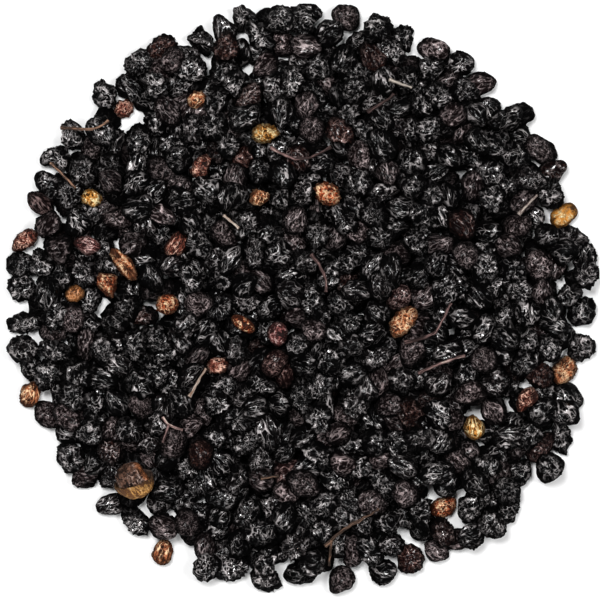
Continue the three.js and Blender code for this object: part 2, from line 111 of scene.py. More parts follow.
# Coloured berries: colour, place, half sizes, the way the long axis points, and the shape of the skin.
COLOURED_BERRIES = (
    ("tan", (41.8, -11.6), (2.4, 1.85, 1.6), (5, 9), "rimmed"),
    ("amber", (41.8, 13.2), (2.4, 1.85, 1.6), (4, 3), "smooth"),
    ("orange", (4.0, 16.6), (2.35, 1.7, 1.5), (-9, 5), "netted"),
    ("amber", (-6.0, 26.3), (2.3, 1.5, 1.4), (1, 0), "netted"),
    ("tan", (16.0, -3.7), (2.9, 1.75, 1.5), (7, 8), "rimmed"),
    ("tan", (-22.3, -40.5), (2.1, 1.6, 1.4), (1, 5), "pleated"),
    ("orange", (22.6, -33.3), (2.2, 1.6, 1.4), (2, 1), "netted"),
    ("amber", (27.5, -20.7), (2.1, 1.6, 1.4), (-1, 6), "pointed"),
    ("orange", (-30.9, 2.2), (2.0, 1.7, 1.5), (2, -5), "collapsed"),
    ("tan", (-43.4, -15.4), (2.3, 1.6, 1.4), (3, 10), "pleated"),
    ("rust", (-20.1, 8.6), (2.4, 1.5, 1.4), (5, 8), "pleated"),
    ("tan", (-28.4, 5.4), (3.1, 1.3, 1.2), (4, -5), "hollow"),
    ("rust", (35.6, -16.2), (2.2, 1.5, 1.4), (9, 18), "collapsed"),
    ("amber", (-33.6, 15.9), (1.6, 1.3, 1.2), (-3, 1), "netted"),
    ("tan", (-6.8, 16.2), (1.8, 1.5, 1.3), (4, 3), "netted"),
    ("orange", (-9.4, -4.1), (2.15, 1.1, 1.0), (3, -2), "grainy"),
    ("amber", (-36.3, 0.6), (1.6, 1.3, 1.2), (2, 1), "blushed"),
    ("rust", (-16.0, 20.9), (2.0, 1.5, 1.3), (1, 1), "netted"),
    ("tan", (-16.8, 31.6), (1.6, 1.4, 1.2), (1, 1), "netted"),
    ("rust", (-28.5, 30.3), (1.6, 1.4, 1.2), (1, 0), "netted"),
    ("orange", (-21.5, -1.0), (1.9, 1.6, 1.4), (3, 1), "netted"),
    ("rust", (-13.4, -10.7), (1.8, 1.5, 1.4), (1, 0), "crowned"),
    ("mauve", (-3.9, -5.7), (2.1, 1.65, 1.4), (0, 1), "grainy"),
    ("mauve", (-34.1, 8.4), (2.3, 1.4, 1.3), (5, -1), "pleated"),
    ("rust", (-44.4, 9.3), (2.4, 1.5, 1.4), (6, 5), "netted"),
)

# The husk: its berry, its shell's wall and the way its cup faces.
HUSK_PLACE = (-27.0, -28.6)
HUSK_HALF = (2.7, 2.3, 1.8)
HUSK_HEADING = (5, -4)
HUSK_WALL = 0.6
HUSK_CUP = Vector((0.3, -0.82, -0.45)).normalized()

# The husk's looks: where its shell is golden and its berry blushes, how its berry swells, and the shell's faces.
HUSK_GOLD = Vector((0.2, -0.95, 0.1))
HUSK_BLUSH = Vector((0.8, 0.6, 0.1))
BLUSH_EDGE = (1.4, 2.1)
HUSK_SWELL = 0.2
SHELL_OUTSIDE = 0.985
SHELL_INSIDE = 0.905
SHELL_CUT = 0.1

# Broken stalks: the tint of each, the line that it follows, seen from above, and a branch where it has one.
STALKS = (
    ("brown", ((-38.4, 27.1), (-35.6, 26.9), (-32.8, 26.5), (-30.7, 28.1)), None),
    ("brown", ((-40.0, 21.4), (-38.7, 20.3), (-37.1, 18.7), (-35.9, 17.4)), None),
    ("mauve", ((-5.0, 23.8), (-1.4, 21.7), (1.6, 22.2), (4.5, 24.0)), None),
    ("mauve", ((16.1, -7.0), (19.0, -6.4), (21.2, -5.6), (22.2, -3.4), (23.5, -0.8)), None),
    ("mauve", ((18.3, -11.9), (21.9, -10.2), (25.6, -9.1)), None),
    ("pale", ((34.2, 13.2), (35.6, 14.9), (37.2, 16.3)), None),
    ("ruddy", ((3.5, -39.2), (6.6, -36.4), (10.8, -34.3), (12.1, -33.3)), ((4.6, -38.2), (4.4, -40.2), (4.2, -42.4))),
    ("ruddy", ((-6.6, -28.6), (-3.8, -28.1)), None),
    ("dark", ((10.2, 29.5), (12.4, 30.6), (14.5, 32.2)), None),
    ("cream", ((13.7, 34.6), (17.2, 33.3)), None),
    ("mauve", ((1.4, 7.0), (2.9, 5.1), (3.9, 2.6), (3.7, 1.0)), None),
    ("tan", ((-17.9, -15.6), (-15.3, -11.1)), None),
    ("mauve", ((-22.1, -18.9), (-21.1, -20.2), (-18.9, -20.8)), ((-21.1, -20.2), (-22.1, -22.8))),
    ("tan", ((-12.4, 13.0), (-10.0, 11.0)), None),
)
STALK_RADIUS = 0.38
STALK_STEP = 1.6
STALK_BERTH = 0.9
DROOP = 0.8
BRANCH_SHARE = 0.9
STALK_SIDES = 14
STALK_PARTS = 8


# ---- The rule that piles the berries ----


DRAW_FACTOR = 48271
DRAW_RANGE = 2147483647


class Draws:
    """Even draws between two limits, the same each time."""

    def __init__(self, seed):
        self.state = seed

    def __call__(self, low, high):
        self.state = self.state * DRAW_FACTOR % DRAW_RANGE
        return low + (high - low) * (self.state / DRAW_RANGE)


def flat_length(x, y):
    return math.sqrt(x * x + y * y)


class Berry:
    """An ellipsoid: its half sizes, its three axes, and the six terms of its inverse shape."""

    def __init__(self, half, heading, tilt, roll):
        level = math.sqrt(1 - tilt * tilt)
        upright = math.sqrt(1 - roll * roll)
        long = (heading[0] * level, heading[1] * level, tilt)
        side = (-heading[1], heading[0], 0.0)
        top = (-heading[0] * tilt, -heading[1] * tilt, level)
        wide = tuple(side[k] * upright + top[k] * roll for k in range(3))
        thin = tuple(top[k] * upright - side[k] * roll for k in range(3))
        self.half = tuple(half)
        self.axes = (long, wide, thin)
        a, b, c = half[0] * half[0], half[1] * half[1], half[2] * half[2]
        self.shape = tuple(
            long[i] * long[j] / a + wide[i] * wide[j] / b + thin[i] * thin[j] / c
            for i, j in ((0, 0), (1, 1), (2, 2), (0, 1), (0, 2), (1, 2))
        )
        self.drop = self.reach(0, 0, 1)
        self.place = (0.0, 0.0, 0.0)
        self.inset = 0.0
        self.kept = False

    def reach(self, x, y, z):
        """How far the berry reaches from its centre along a direction."""
        p, q, r = (h * (a[0] * x + a[1] * y + a[2] * z) for h, a in zip(self.half, self.axes))
        return math.sqrt(p * p + q * q + r * r)

    def out(self, x, y, z):
        """How far out a step from the centre leads, squared: 1 is on the skin."""
        s = self.shape
        return s[0] * x * x + s[1] * y * y + s[2] * z * z + 2 * (s[3] * x * y + s[4] * x * z + s[5] * y * z)

    def skin_height(self, x, y, side):
        """Height of the skin over a place, on the upper (1) or under (-1) side, or None beside it."""
        dx, dy = x - self.place[0], y - self.place[1]
        s = self.shape
        lean = s[4] * dx + s[5] * dy
        rest = s[0] * dx * dx + s[1] * dy * dy + 2 * s[3] * dx * dy - 1
        root = lean * lean - s[2] * rest
        return None if root < 0 else self.place[2] + (side * math.sqrt(root) - lean) / s[2]


def rest_on(berry, other, x, y):
    """Height at which a berry dropped at a place touches another, or 0 where it misses it."""
    dx = x - other.place[0]
    dy = y - other.place[1]
    flat = dx * dx + dy * dy
    touch = TOUCH_COLOURED if berry.kept and other.kept else TOUCH
    most = touch * (berry.half[0] + other.half[0])
    if flat >= most * most:
        return 0.0
    rise = math.sqrt(most * most - flat)
    for _ in range(CONTACT_STEPS):
        radii = 1 / math.sqrt(berry.out(dx, dy, rise)) + 1 / math.sqrt(other.out(dx, dy, rise))
        contact = touch * touch * radii * radii * (flat + rise * rise)
        if contact <= flat:
            return 0.0
        rise = math.sqrt(contact - flat)
    return other.place[2] + rise


def rim_radius(x, y, distance):
    """How far the cluster reaches towards a place: a little further where it bulges."""
    toward = (x * BULGE_HEADING[0] + y * BULGE_HEADING[1]) / distance
    return CLUSTER_RADIUS + BULGE_REACH * max(0, toward - BULGE_COSINE) / (1 - BULGE_COSINE)


def fill_cost(top, x, y):
    """How much too high a berry's top is for the dome, so that low places fill first."""
    distance = max(0.001, flat_length(x, y))
    share = distance / rim_radius(x, y, distance)
    return top - (RIM_HEIGHT + (CLUSTER_HEIGHT - RIM_HEIGHT) * (1 - share * share * share * share))


def rim_cost(top, x, y):
    """Low for a berry that lies low and far out."""
    return top - flat_length(x, y)


class Pile:
    """Every berry of the cluster where it came to rest."""

    def __init__(self):
        self.berries = []
        self.kept = []
        self.coloured = []
        self.squares = {}
        self.draw = Draws(SEED)
        middle = Berry(MIDDLE_HALF, MIDDLE_HEADING, 0, 0)
        self.add(middle, 0.0, 0.0, middle.drop - FLOOR_SINK)
        self.place_coloured(lambda distance: distance > RIM_START)
        for _ in range(RIM_COUNT):
            self.drop(self.draw_berry(), rim_cost)
        for _ in range(LOWER_COUNT):
            self.drop(self.draw_berry(), fill_cost)
        self.place_coloured(lambda distance: distance <= RIM_START)
        self.husk = self.keep([h + GAP + HUSK_WALL for h in HUSK_HALF], HUSK_HEADING, HUSK_PLACE)
        for _ in range(UPPER_COUNT):
            self.drop(self.draw_berry(), fill_cost)

    def add(self, berry, x, y, z):
        berry.place = (x, y, z)
        key = (math.floor(x / SQUARE), math.floor(y / SQUARE))
        self.squares.setdefault(key, []).append(berry)
        self.berries.append(berry)

    def neighbours(self, x, y):
        column, row = math.floor(x / SQUARE), math.floor(y / SQUARE)
        found = []
        for i in range(column - 2, column + 3):
            for j in range(row - 2, row + 3):
                found += self.squares.get((i, j), ())
        return found

    def rest_height(self, berry, x, y):
        height = berry.drop - FLOOR_SINK
        for other in self.neighbours(x, y):
            height = max(height, rest_on(berry, other, x, y))
        return height

    def is_free(self, berry, x, y):
        distance = max(0.001, flat_length(x, y))
        outside = distance + berry.reach(x / distance, y / distance, 0) + berry.inset
        if outside > rim_radius(x, y, distance):
            return False
        for other in self.kept:
            dx, dy = x - other.place[0], y - other.place[1]
            apart = max(0.001, flat_length(dx, dy))
            if apart > NEVER_TOUCH:
                continue
            span = berry.reach(dx / apart, dy / apart, 0) + other.reach(dx / apart, dy / apart, 0)
            if apart <= CLEAR_SHARE * span:
                return False
        return True

    def drop(self, berry, cost):
        """Drops a berry at the cheapest of a few places, then rolls it to a cheaper one nearby."""
        best = None

        def consider(x, y):
            nonlocal best
            if not self.is_free(berry, x, y):
                return False
            z = self.rest_height(berry, x, y)
            score = cost(z + berry.drop, x, y)
            if best and score >= best[3]:
                return False
            best = (x, y, z, score)
            return True

        for _ in range(TRIES):
            x = self.draw(-1, 1) * CLUSTER_RADIUS * DROP_REACH
            consider(x, self.draw(-1, 1) * CLUSTER_RADIUS * DROP_REACH)
        if not best:
            return
        for nudge in NUDGES:
            for _ in range(ROLLS):
                x, y = best[:2]
                better = [consider(x + i * nudge, y + j * nudge) for i, j in NUDGE_HEADINGS]
                if not any(better):
                    break
        self.add(berry, *best[:3])

    def draw_berry(self):
        draw = self.draw
        half = [(draw(*span) + draw(*span)) / 2 for span in (HALF_LENGTH, HALF_WIDTH, HALF_THICKNESS)]
        while True:
            x, y = draw(-1, 1), draw(-1, 1)
            length = flat_length(x, y)
            if 0.1 < length < 1:
                break
        tilt = draw(-MOST_TILT, MOST_TILT)
        berry = Berry(half, (x / length, y / length), tilt, draw(-MOST_ROLL, MOST_ROLL))
        berry.inset = draw(0, RIM_INSET)
        return berry

    def keep(self, half, heading, place):
        length = flat_length(*heading)
        berry = Berry(half, (heading[0] / length, heading[1] / length), 0, 0)
        berry.kept = True
        self.add(berry, *place, self.rest_height(berry, *place))
        self.kept.append(berry)
        return berry

    def place_coloured(self, is_wanted):
        for colour, place, half, heading, kind in COLOURED_BERRIES:
            if is_wanted(flat_length(*place)):
                self.coloured.append((colour, kind, self.keep(half, heading, place)))

    def shown_share(self, berry, side):
        """Share of a berry that no other one hides, looking down on it (1) or up at it (-1)."""
        others = [other for other in self.neighbours(*berry.place[:2]) if other is not berry]
        seen = total = 0
        for i in PROBES:
            for j in PROBES:
                x, y = berry.place[0] + i * berry.half[0], berry.place[1] + j * berry.half[0]
                skin = berry.skin_height(x, y, side)
                if skin is None:
                    continue
                total += 1
                heights = (other.skin_height(x, y, side) for other in others)
                seen += not any(h is not None and side * h > side * skin for h in heights)
        return seen / total

    def top(self, x, y):
        """Height of the pile's top at a place."""
        heights = (berry.skin_height(x, y, 1) for berry in self.neighbours(x, y))
        return max((h for h in heights if h is not None), default=0.0)

    def stalk_height(self, x, y):
        """Height that a stalk's middle line has to clear at a place."""
        tops = [self.top(x + i * STALK_BERTH, y + j * STALK_BERTH) for i, j in NUDGE_HEADINGS]
        return max(self.top(x, y), *tops) + GAP + STALK_RADIUS

    def lay_stalk(self, corners, start_height=None):
        """A stalk's route over the tops, which droops a little at each step away from one."""
        points = walk_line(corners, STALK_STEP)
        needed = [self.stalk_height(*point) for point in points]
        heights = [max(height - DROOP * abs(k - j) for j, height in enumerate(needed)) for k in range(len(points))]
        if start_height is not None:
            heights[0] = start_height
        return [Vector((x, y, height)) for (x, y), height in zip(points, heights)]


def walk_line(corners, step):
    """Points along a line of corners, a step apart at most."""
    points = [corners[0]]
    for (x0, y0), (x1, y1) in zip(corners, corners[1:]):
        parts = math.ceil(flat_length(x1 - x0, y1 - y0) / step)
        points += [(x0 + (x1 - x0) * k / parts, y0 + (y1 - y0) * k / parts) for k in range(1, parts + 1)]
    return points


PILE = Pile()


# ---- Shapes of the dried skin ----

# Blender takes the shifts of its noise vectors from the clock unless it is given a seed.
noise.seed_set(SEED)


def smooth_step(low, high, value):
    share = max(0.0, min(1.0, (value - low) / (high - low)))
    return share * share * (3 - 2 * share)


def bell(away, width):
    """1 at nil, falling off on both sides."""
    return math.exp(-((away / width) ** 2))


def ridge(point, scale, seed, steep=3.0):
    """1 along the wandering lines where the noise is nil, down to 0 beside them."""
    return max(0.0, 1.0 - steep * abs(noise.noise(point * scale + seed)))


def border(point, scale, seed, width):
    """1 along the borders of scattered cells, down to 0 inside them."""
    near, next_near = noise.voronoi(point * scale + seed)[0][:2]
    return max(0.0, 1.0 - (next_near - near) / width)


class Skin:
    """How one dried berry's skin is wrinkled, dented and pleated."""

    def __init__(self, kind, rng, size, density=1.0):
        self.kind = kind
        self.seed = Vector([rng.uniform(-90, 90) for _ in range(3)])
        self.other_seed = self.seed + Vector((31.7, -12.4, 8.9))
        self.folds = rng.randint(8, 14)
        self.depth = rng.uniform(0.8, 1.3)
        self.density = rng.uniform(0.8, 1.3) * density
        self.lumps = rng.uniform(0.4, 0.95)
        self.size = size
        self.dents = []
        for _ in range({"collapsed": rng.randint(2, 3), "netted": rng.randint(0, 2)}.get(kind, 0)):
            away = Vector([rng.gauss(0, 1) for _ in range(3)])
            away.z = abs(away.z) * 0.8
            self.dents.append((away.normalized(), rng.uniform(0.45, 0.7), rng.uniform(0.15, 0.38)))
        if kind in ("rimmed", "smooth"):
            self.dents = [(Vector((0.0, 0.2, 0.97)).normalized(), 0.6, 0.2)]
        end = rng.choice((-1, 1))
        self.eye = Vector((end * rng.uniform(0.3, 1.0), rng.uniform(-0.4, 0.4), rng.uniform(0.3, 1.0)))
        self.eye.normalize()

    def net(self, point):
        """Height and crest of the raised net, in millimetres and from 0 to 1."""
        warped = point + 0.6 * noise.noise_vector(point * 0.7 + self.seed)
        warped *= self.density
        coarse = smooth_step(0, 1, ridge(warped, 0.72, self.seed, 4.2))
        fine = smooth_step(0, 1, ridge(warped, 1.35, self.other_seed, 3.4))
        height = self.depth * (0.36 * coarse + 0.24 * fine - 0.24)
        return height, max(coarse, 0.75 * fine)

    def facets(self, point):
        """Height and crest of sunken facets with sharp ridges between them."""
        warped = point + 0.35 * noise.noise_vector(point * 0.8 + self.seed)
        edge = border(warped, 0.42 * self.density, self.seed, 0.42)
        fine = smooth_step(0, 1, ridge(warped, 1.0, self.other_seed, 4.0))
        height = self.depth * (0.62 * edge ** 1.5 + 0.12 * fine - 0.36)
        return height, max(edge ** 2.5, 0.4 * fine)

    def pleats(self, point, way, strength):
        """Height and crest of the folds that run from end to end."""
        angle = math.atan2(way.z, way.y) + 1.1 * noise.noise(point * 0.35 + self.seed)
        across = math.sqrt(max(0.0, 1 - way.x * way.x))
        fold = 1 - abs(math.sin(0.5 * self.folds * angle + self.seed.x))
        fold = smooth_step(0.25, 1.0, fold) * (0.55 + 0.6 * noise.noise(point * 0.6 + self.other_seed))
        fine = ridge(Vector((point.x * 0.4, point.y, point.z)), 1.1, self.other_seed, 3.5)
        height = strength * self.depth * (0.55 * fold + 0.16 * fine - 0.22) * across ** 0.7
        return height, min(1.0, max(fold * 1.4, 0.6 * fine)) * across

    def crown(self, way):
        """Height of the ring of sepal stumps round the berry's eye, and of the point in it."""
        apart = math.acos(max(-1.0, min(1.0, way.dot(self.eye))))
        if apart > 0.9:
            return 0.0, 0.0
        side = self.eye.orthogonal().normalized()
        turn = math.atan2(way.dot(self.eye.cross(side)), way.dot(side))
        ring = bell(apart - 0.4, 0.1) * (0.7 + 0.3 * math.cos(5 * turn))
        point = bell(apart, 0.1)
        return 0.36 * ring + 0.4 * point - 0.36 * bell(apart, 0.28), max(ring, point)

    def speckle(self, point, scale, line_scale, steep):
        """A fine bumpy grain, and lines that are pressed into it."""
        return noise.noise(point * scale + self.seed), ridge(point, line_scale, self.seed, steep)

    def relief(self, point, way):
        """Height and crest that the kind of skin has."""
        if self.kind in ("pleated", "pointed"):
            return self.pleats(point, way, 1.0 if self.kind == "pleated" else 0.6)
        if self.kind == "collapsed":
            return self.facets(point)
        if self.kind in ("grainy", "blushed"):
            fine, line = self.speckle(point, 1.9, 0.45, 6.0)
            return 0.09 * fine - 0.16 * line, 0.42 + 0.35 * fine - 0.3 * line
        if self.kind == "smooth":
            fine, line = self.speckle(point, 1.1, 0.6, 5.0)
            face = smooth_step(0.5, 0.85, way.z + 0.25 * fine - 0.15 * abs(way.x))
            return 0.12 * fine - 0.2 * line, 0.45 + face - 0.7 * line
        return self.net(point)

    def at(self, way, half):
        """Place of the skin along a direction, about the berry's centre, and its crest."""
        point = Vector((way.x * half[0], way.y * half[1], way.z * half[2]))
        lump = self.lumps * noise.noise(point * 0.36 + self.other_seed)
        height, crest = self.relief(point, way)
        shrink = 1.0
        if self.kind == "pointed":
            narrow = 1 - 0.42 * way.x ** 2
            point = Vector((point.x, point.y * narrow, point.z * narrow))
        if self.kind == "hollow":
            inner = smooth_step(0.98, 0.8, abs(way.x))
            edge = bell(abs(way.y) - 0.5, 0.15) * inner
            shrink -= 0.4 * smooth_step(0.4, 0.15, abs(way.y)) * inner * (way.z > 0)
            height, crest = height * 0.6 + 0.25 * edge, max(crest * 0.4, 1.3 * edge)
        if self.kind == "crowned":
            lift, rim = self.crown(way)
            height, crest = height * (0.5 if lift else 1.0) + lift, max(crest * (0.6 if lift else 1.0), rim)
        lip = 0.0
        for away, start, deep in self.dents:
            share = (way.dot(away) - start) / (1 - start)
            if share > 0:
                shrink -= deep * min(1.0, share * 1.6) * (1.2 - 0.2 * share)
            lip = max(lip, bell(share, 0.1))
        outward = Vector((way.x / half[0], way.y / half[1], way.z / half[2])).normalized()
        height = height + lump + 0.18 * lip
        return point * max(0.3, shrink) + outward * height * self.size, max(0.0, min(1.0, max(crest, lip * 0.8)))


# ---- Meshes ----

# How a berry's round start is divided: its even level, and the heights above which it is divided again.
FINE = (3, (-0.1, 0.55))
FAIR = (3, (-0.1,))
PLAIN = (3, ())
HIDDEN = (2, ())
SPHERES = {}

# How wide each disc of the flat map is, how light the painted shade leaves the skin where it faces sideways,
# and the share of straight up where the painted shade begins to lift and where it is gone.
DISC_SHRINK = 2.3
LEAST_PAINTED_LIGHT = {"black": 0.06, "coloured": 0.15, "husk": 0.6, "stalk": 0.1}
FACING_UP = (0.32, 0.92)


def smooth_mesh(bm, name):
    """A smooth mesh of what was modelled."""
    for face in bm.faces:
        face.smooth = True
    mesh = bpy.data.meshes.new(name)
    bm.to_mesh(mesh)
    bm.free()
    return mesh


def held(place, low, high):
    """A place kept inside a box."""
    return Vector([max(least, min(most, c)) for c, least, most in zip(place, low, high)])


def sphere(detail):
    """A round mesh of small triangles, finest on its top, and its flat map as two discs."""
    if detail not in SPHERES:
        bm = bmesh.new()
        bmesh.ops.create_icosphere(bm, subdivisions=detail[0], radius=1)
        for height in detail[1]:
            edges = [edge for edge in bm.edges if min(vert.co.z for vert in edge.verts) > height]
            bmesh.ops.subdivide_edges(bm, edges=edges, cuts=1, use_grid_fill=True)
            for vert in bm.verts:
                vert.co.normalize()
            bmesh.ops.triangulate(bm, faces=[face for face in bm.faces if len(face.verts) > 3])
        places = []
        for face in bm.faces:
            upper = face.calc_center_median().z >= 0
            for loop in face.loops:
                x, y, z = loop.vert.co
                z = z if upper else -z
                spread = math.sqrt(max(0.0, 1 - z)) / max(1e-6, math.hypot(x, y)) / DISC_SHRINK
                places.append((0.25 + (0 if upper else 0.5) + 0.5 * x * spread, 0.5 + y * spread))
        SPHERES[detail] = (smooth_mesh(bm, "round"), np.array(places, np.float32))
    return SPHERES[detail]


def painted_light(up, least):
    """Painted light and shade: how light the skin is painted where it faces so far upward, least where berries meet.
    """
    return least + (1 - least) * smooth_step(*FACING_UP, up)


class BerryMesh:
    """One mesh of many berries, with what their material reads."""

    def __init__(self, box):
        self.bm = bmesh.new()
        layers = self.bm.verts.layers
        self.crest = layers.float.new("crest")
        self.tone = layers.float_vector.new("tone")
        self.grain = layers.float_vector.new("grain")
        self.details = []
        self.low, self.high = ([c / MM for c in corner] for corner in box)
        self.made = 0

    def add(self, berry, half, skin, tone, detail, least):
        """Adds a berry with its skin, and its tone: dust or smoothness, blush, and light, which painted shade darkens
        where the skin faces sideways.
        """
        self.details.append(detail)
        self.bm.from_mesh(sphere(detail)[0])
        self.bm.verts.ensure_lookup_table()
        long, wide, thin = (Vector(axis) for axis in berry.axes)
        centre = Vector(berry.place)
        stretch = 0.45 if skin.kind in ("pleated", "pointed") else 1.0
        for vert in self.bm.verts[self.made :]:
            up = long.z * vert.co.x + wide.z * vert.co.y + thin.z * vert.co.z
            place, crest = skin.at(vert.co, half)
            vert[self.crest] = crest
            # The tone's light takes painted shade where the skin faces sideways or down.
            vert[self.tone] = (tone.x, tone.y, tone.z * painted_light(up, least))
            x, y, z = (c * h for c, h in zip(vert.co, half))
            vert[self.grain] = Vector((x * stretch, y, z)) * skin.density + skin.seed
            world = centre + long * place.x + wide * place.y + thin * place.z
            vert.co = held(world, self.low, self.high) * MM
        self.made = len(self.bm.verts)

    def finish(self, name):
        """The mesh, with each berry's two discs in a square of its own on the flat map."""
        mesh = smooth_mesh(self.bm, name)
        across = math.ceil(math.sqrt(2 * len(self.details)))
        rows = math.ceil(across / 2)
        places = []
        for k, detail in enumerate(self.details):
            corner = np.array([k % rows / rows, k // rows / across], np.float32)
            places.append(sphere(detail)[1] * np.array([1 / rows, 1 / across], np.float32) + corner)
        flat_map = mesh.uv_layers.new(name="OFBake")
        flat_map.uv.foreach_set("vector", np.concatenate(places).ravel())
        return mesh


def new_piece(name, mesh, material, slot, node):
    """Puts a mesh in the scene as a piece that stands for a CAD node."""
    piece = bpy.data.objects.new(name, mesh)
    bpy.context.scene.collection.objects.link(piece)
    mesh.materials.append(material)
    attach(piece, "root")
    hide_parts(node)


# ---- Materials ----


class Wire:
    """A socket of a material, whose arithmetic adds Math nodes."""

    def __init__(self, shader, socket):
        self.shader = shader
        self.socket = socket

    def _math(self, operation, first, second=0.0, clamp=False):
        return self.shader.node("ShaderNodeMath", {0: first, 1: second}, operation=operation, use_clamp=clamp)

    def __add__(self, other):
        return self._math("ADD", self, other)

    def __sub__(self, other):
        return self._math("SUBTRACT", self, other)

    def __rsub__(self, other):
        return self._math("SUBTRACT", other, self)

    def __mul__(self, other):
        return self._math("MULTIPLY", self, other)

    __radd__ = __add__
    __rmul__ = __mul__

    def __abs__(self):
        return self._math("ABSOLUTE", self)

    def kept(self):
        """The value held between 0 and 1."""
        return self._math("ADD", self, 0.0, True)

    def most(self, other):
        """The larger of two values."""
        return self._math("MAXIMUM", self, other)


class Shader:
    """A material's node tree, ready for its surface."""

    def __init__(self, name):
        self.material = bpy.data.materials.new(name)
        self.material.use_nodes = True
        self.tree = self.material.node_tree
        self.surface = self.tree.nodes["Principled BSDF"]

    def fill(self, node, values):
        """Links or fills a node's sockets."""
        for key, value in values.items():
            if isinstance(value, Wire):
                self.tree.links.new(value.socket, node.inputs[key])
            else:
                node.inputs[key].default_value = value

    def node(self, kind, inputs, output=0, **settings):
        """Adds a node, sets it, links or fills its sockets, and gives one output."""
        made = self.tree.nodes.new(kind)
        for key, value in settings.items():
            setattr(made, key, value)
        self.fill(made, inputs)
        return Wire(self, made.outputs[output])

    def attribute(self, name, output="Fac"):
        return self.node("ShaderNodeAttribute", {}, output, attribute_name=name)

    def tone(self):
        """The tone's three parts: dust, smoothness or a second tone's share; blush; and light, which carries painted
        shade.
        """
        parts = self.node("ShaderNodeSeparateXYZ", {0: self.attribute("tone", "Vector")}).socket.node.outputs
        return [Wire(self, part) for part in parts]

    def mix(self, share, first, second):
        """A colour between two, by a share."""
        return self.node("ShaderNodeMix", {0: share, 6: first, 7: second}, 2, data_type="RGBA", clamp_factor=True)

    def noise(self, place, scale, detail, roughness=0.5):
        inputs = {"Vector": place, "Scale": scale, "Detail": detail, "Roughness": roughness}
        return self.node("ShaderNodeTexNoise", inputs, "Fac")

    def step(self, value, low, high):
        """0 below one value, 1 above another, and smooth between them."""
        inputs = {"Value": value, "From Min": low, "From Max": high}
        return self.node("ShaderNodeMapRange", inputs, interpolation_type="SMOOTHSTEP")

    def bump(self, height, distance, strength=1.0):
        """The normal of a relief so many millimetres high."""
        inputs = {"Strength": strength, "Distance": distance * MM, "Height": height}
        return self.node("ShaderNodeBump", inputs, "Normal")

    def finish(self, colour, roughness, normal, **more):
        """Links or fills the surface's sockets and gives the material."""
        values = {key.replace("_", " "): value for key, value in more.items()}
        self.fill(self.surface, {"Base Color": colour, "Roughness": roughness, "Normal": normal, **values})
        return self.material


# The net's two sizes of line and how thin they are, and the tones of a fibre where it is worn and where shade is
# painted on it.
COARSE_LINES = 0.9
FINE_LINES = 1.3
LINE_THINNESS = 6.5
WORN_STRANDS = (1.0, 0.9, 0.75, 1.0)
SHADED_FIBRE = (0.006, 0.003, 0.003, 1.0)


def shade(colour, factor):
    """A colour made lighter or darker."""
    return (*(min(1.0, c * factor) for c in colour[:3]), 1.0)


def wrinkles(shader, place):
    """The net in the skin: lines that wander and cross, from 0 to 1, and its grain."""
    warp = shader.node("ShaderNodeTexNoise", {"Vector": place, "Scale": 0.9, "Detail": 1.0}, "Color")
    sway = {0: warp, 1: (1.5, 1.5, 1.5), 2: place}
    pushed = shader.node("ShaderNodeVectorMath", sway, operation="MULTIPLY_ADD")

    def lines(scale):
        return 1 - abs(shader.noise(pushed, scale, 0.0) * 2 - 1) * LINE_THINNESS

    borders = {"Vector": pushed, "Scale": 1.1}
    cells = shader.node("ShaderNodeTexVoronoi", borders, "Distance", feature="DISTANCE_TO_EDGE")
    cells = 1 - shader.step(cells, 0.0, 0.1)
    grain = shader.noise(place, 3.0, 2.0, 0.6)
    patch = shader.step(shader.noise(place, 0.75, 1.0), 0.38, 0.62) * 0.8 + 0.2
    net = lines(COARSE_LINES).most(lines(FINE_LINES) * 0.85).most(cells * 0.6).kept()
    return shader.step(net, 0.2, 0.85) * patch, grain


def black_skin(settings):
    """Black skin: a grey net along its ridges that is partly wear and partly painted highlight, powder where it is
    dusty, a wet-looking glint, and painted shade.
    """
    shader = Shader("black_skin")
    crest = shader.attribute("crest")
    dust, blush, light = shader.tone()
    place = shader.attribute("grain", "Vector")
    net, grain = wrinkles(shader, place)
    # The grey net is partly wear and partly a painted highlight, standing in for the glints on the ridges.
    raised = (crest * 0.6 + 0.4) * net * 1.3 + shader.step(crest, 0.55, 1.0) * 0.2
    pale_share = (raised * (0.75 + grain * 1.4) - 0.3).kept()
    pitted = shader.step(shader.noise(place, 2.3, 1.0), 0.42, 0.6)
    powder = shader.step(grain, 0.42, 0.72) * pitted
    base = shader.mix(pale_share, settings.black_deep, settings.black_crest)
    powdered = (pale_share * 0.9 + powder * (0.3 + 0.8 * crest)).kept()
    dusty = shader.mix(powdered, settings.dust_deep, settings.dust_crest)
    ruddy = shader.mix((pale_share * 0.9 + powder * 0.45).kept(), settings.rust_deep, settings.rust_crest)
    colour = shader.mix(blush, shader.mix(dust, base, dusty), ruddy)
    # Painted shade: where the tone's light is low, the skin turns to its crease black.
    colour = shader.mix(light, settings.black_deep, colour)
    glint = 0.4 + 1.3 * shader.step(grain, 0.38, 0.66)
    shine = (light * (0.01 + crest * 0.14 + net) * glint * (1 - 0.8 * dust)).kept()
    normal = shader.bump(net * 0.9 + grain * 0.35 + pitted * dust * 0.6, 0.3)
    gloss = {"Coat_Weight": shine * settings.gloss, "Coat_Roughness": 0.17, "Coat_IOR": 1.9}
    return shader.finish(colour, 0.95, normal, Specular_IOR_Level=0.04, **gloss)


